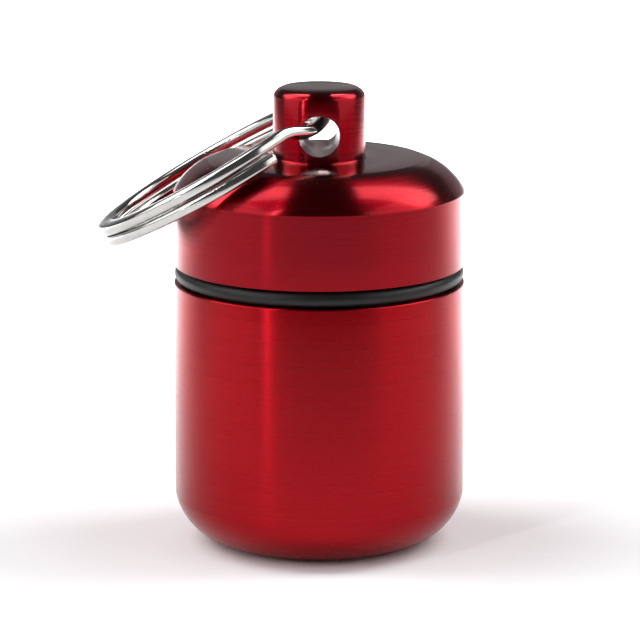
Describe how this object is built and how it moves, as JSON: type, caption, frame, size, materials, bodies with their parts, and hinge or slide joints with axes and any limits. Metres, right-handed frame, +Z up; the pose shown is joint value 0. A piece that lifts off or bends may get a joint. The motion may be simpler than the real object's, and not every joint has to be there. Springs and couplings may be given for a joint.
{
  "type": "pill canister",
  "caption": "Round screw-cap canister for pills, with a sealing ring at the joint and a split key ring through the cap's knob.",
  "frame": {"origin": "centre of the canister's flat base", "axes": "+Z up along the canister's axis towards the cap, Y along the hole in the cap's knob, the ring hangs to -X"},
  "size_m": [0.0354, 0.028, 0.0443],
  "materials": {
    "red_anodised": "turned, dyed red and polished",
    "seal_rubber": "satin black",
    "ring_plating": "bright nickel plate"
  },
  "bodies": {
    "canister": {"canister": "red_anodised"},
    "seal": {"o_ring": "seal_rubber"},
    "cap": {"cap": "red_anodised"},
    "ring": {"split_ring": "ring_plating"}
  },
  "joints": [
    {"name": "cap_turn", "type": "hinge", "parent": "canister", "child": "seal", "pos_m": [0, 0, 0.0272], "axis": [0, 0, 1], "range_deg": [0, 1800]},
    {"name": "cap_lift", "type": "slide", "parent": "seal", "child": "cap", "axis": [0, 0, 1], "range_m": [0, 0.00625]},
    {"name": "ring_swing", "type": "hinge", "parent": "cap", "child": "ring", "pos_m": [0, 0, 0.0402], "axis": [0, 1, 0], "range_deg": [0, 200]}
  ],
  "couplings": [
    {"joint": "cap_lift", "follows": "cap_turn", "m_per_rad": 0.00019894}
  ]
}
